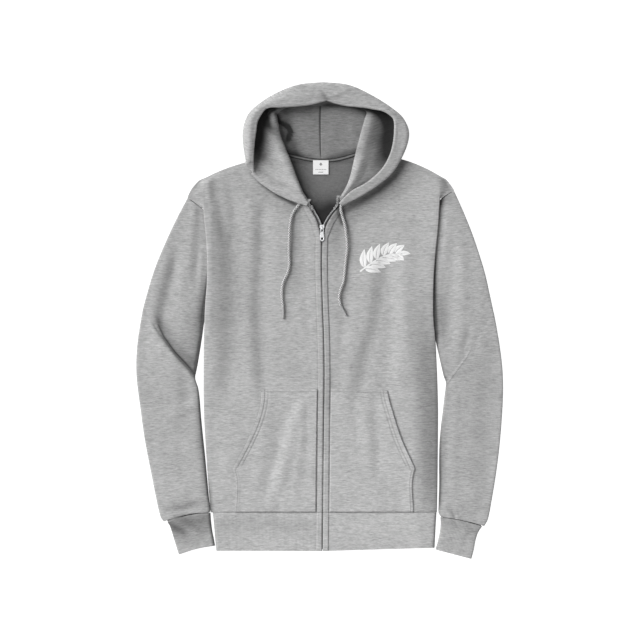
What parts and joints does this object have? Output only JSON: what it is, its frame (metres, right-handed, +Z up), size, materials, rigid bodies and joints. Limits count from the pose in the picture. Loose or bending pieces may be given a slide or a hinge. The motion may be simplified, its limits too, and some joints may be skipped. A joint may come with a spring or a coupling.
{
  "type": "zip-up hooded sweatshirt",
  "caption": "Hooded fleece sweatshirt laid flat on its back: closed front zip with a hinged pull tab, hand pockets, free drawcord ends, ribbed hem and cuffs.",
  "frame": {"origin": "centre of the garment's outline, on the surface it lies on", "axes": "+X to the wearer's left, +Y from the hem to the hood, +Z up from the surface, out of the garment's front"},
  "size_m": [0.6974, 0.9041, 0.0366],
  "materials": {
    "heather_fleece": "heather grey cotton and polyester fleece, jersey face with short dark and light streaks",
    "brushed_inside": "brushed inner face of the fleece, darker grey with a matt nap",
    "rib_knit": "fine heather grey rib knit",
    "drawcord": "braided heather grey cotton cord with flattened ends",
    "zip_tape": "grey woven polyester tape",
    "zip_metal": "polished aluminium teeth, slider and pull tab",
    "woven_label": "blank white woven satin label",
    "sewing_thread": "grey spun polyester thread",
    "print_ink": "white screen print ink, a plain leaf sprig"
  },
  "bodies": {
    "root": {"back": "brushed_inside", "front_right": "heather_fleece", "front_left": "heather_fleece", "sleeve_right": "heather_fleece", "sleeve_left": "heather_fleece", "hood_right": "heather_fleece", "hood_left": "heather_fleece", "pocket_right": "heather_fleece", "pocket_left": "heather_fleece", "waistband": "rib_knit", "cuff_right": "rib_knit", "cuff_left": "rib_knit", "neck_label": "woven_label", "zip_tape_right": "zip_tape", "zip_tape_left": "zip_tape", "zip_slider": "zip_metal", "drawcord_right": "drawcord", "drawcord_left": "drawcord"},
    "pull_tab": {"zip_pull": "zip_metal"}
  },
  "joints": [
    {"name": "pull_tab_hinge", "type": "hinge", "parent": "root", "child": "pull_tab", "pos_m": [0.0046, 0.174, 0.0103], "axis": [-1, 0, 0], "range_deg": [0, 150]}
  ]
}
